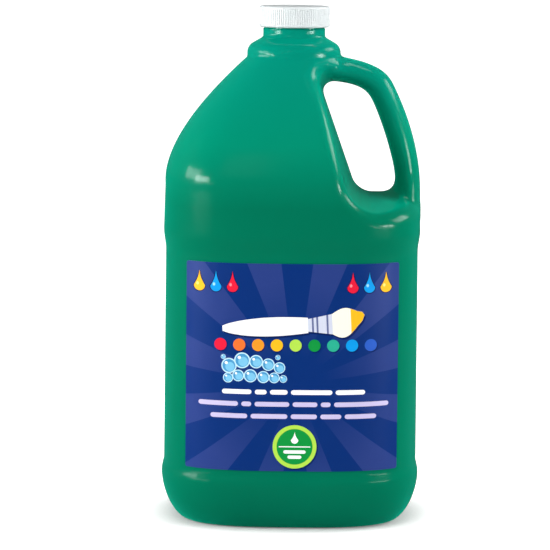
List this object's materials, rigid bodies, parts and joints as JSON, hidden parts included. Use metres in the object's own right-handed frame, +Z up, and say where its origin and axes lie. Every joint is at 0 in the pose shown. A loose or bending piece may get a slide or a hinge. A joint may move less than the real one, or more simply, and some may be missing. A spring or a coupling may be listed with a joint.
{
  "type": "paint jug",
  "caption": "Handled rounded-square plastic paint jug with a screw cap, foam liner, wrap-round front and back labels and a fill of liquid paint.",
  "frame": {"origin": "on the neck's axis, on the surface that the jug stands on", "axes": "+Z up along the neck, -Y out of the front label, +X towards the handle"},
  "size_m": [0.1514, 0.1416, 0.3],
  "materials": {
    "bottle_plastic": "satin-gloss green blow-moulded polyethylene",
    "liquid_paint": "wet green water-based paint",
    "cap_plastic": "satin white moulded polypropylene, ribbed",
    "liner_foam": "white foamed polyethylene",
    "label_film": "printed film, semi-gloss"
  },
  "bodies": {
    "bottle": {"bottle": "bottle_plastic", "paint": "liquid_paint", "front_label": "label_film", "back_label": "label_film"},
    "liner": {"cap_liner": "liner_foam"},
    "cap": {"cap": "cap_plastic"}
  },
  "joints": [
    {"name": "cap_rise", "type": "slide", "parent": "bottle", "child": "liner", "axis": [0, 0, 1], "range_m": [0, 0.0149]},
    {"name": "cap_turn", "type": "hinge", "parent": "liner", "child": "cap", "pos_m": [0, 0, 0.2876], "axis": [0, 0, 1], "range_deg": [0, 1260]}
  ],
  "couplings": [
    {"joint": "cap_rise", "follows": "cap_turn", "m_per_rad": 0.00067376}
  ]
}
